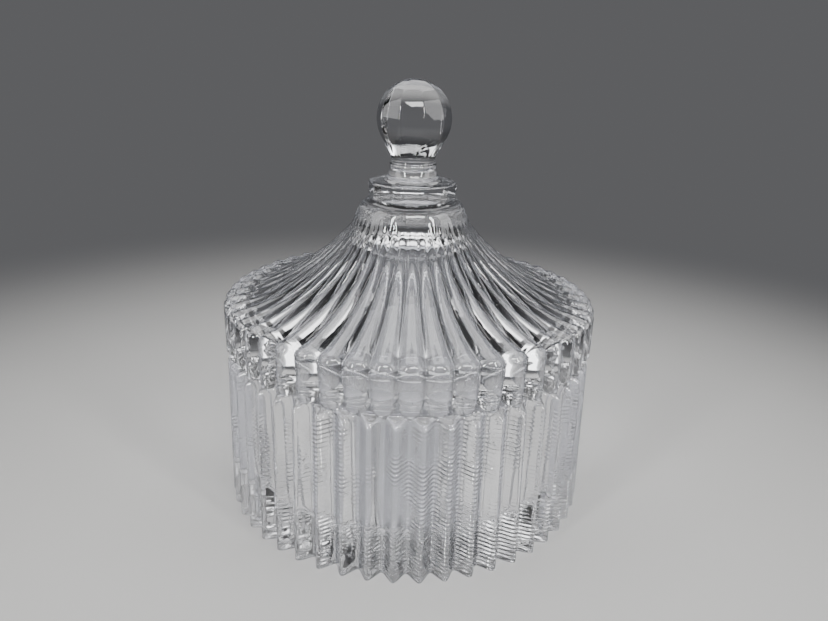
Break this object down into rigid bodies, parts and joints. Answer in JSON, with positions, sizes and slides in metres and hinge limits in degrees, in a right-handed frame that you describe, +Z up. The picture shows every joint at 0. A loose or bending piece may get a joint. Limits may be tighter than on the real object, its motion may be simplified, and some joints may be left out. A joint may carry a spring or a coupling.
{
  "type": "candle jar",
  "caption": "Empty lidded candle jar in clear pressed glass: a ribbed round tub and a tent-shaped ribbed lid with a scalloped skirt, collar and ball knob.",
  "frame": {"origin": "centre of the jar's foot, on the surface it stands on", "axes": "+Z up along the axis of the jar and the knob; -Y is the side seen from the front; a lobe of the lid's skirt lies on -Y and a rib of the jar lies on +X"},
  "size_m": [0.1, 0.0998, 0.1117],
  "materials": {
    "jar_glass": "clear pressed glass, fire-polished",
    "lid_glass": "clear pressed glass, fire-polished"
  },
  "bodies": {
    "tub": {"jar": "jar_glass"},
    "cover": {"lid": "lid_glass"}
  },
  "joints": [
    {"name": "lid_lift", "type": "slide", "parent": "tub", "child": "cover", "axis": [0, 0, 1], "range_m": [0, 0.06]}
  ]
}
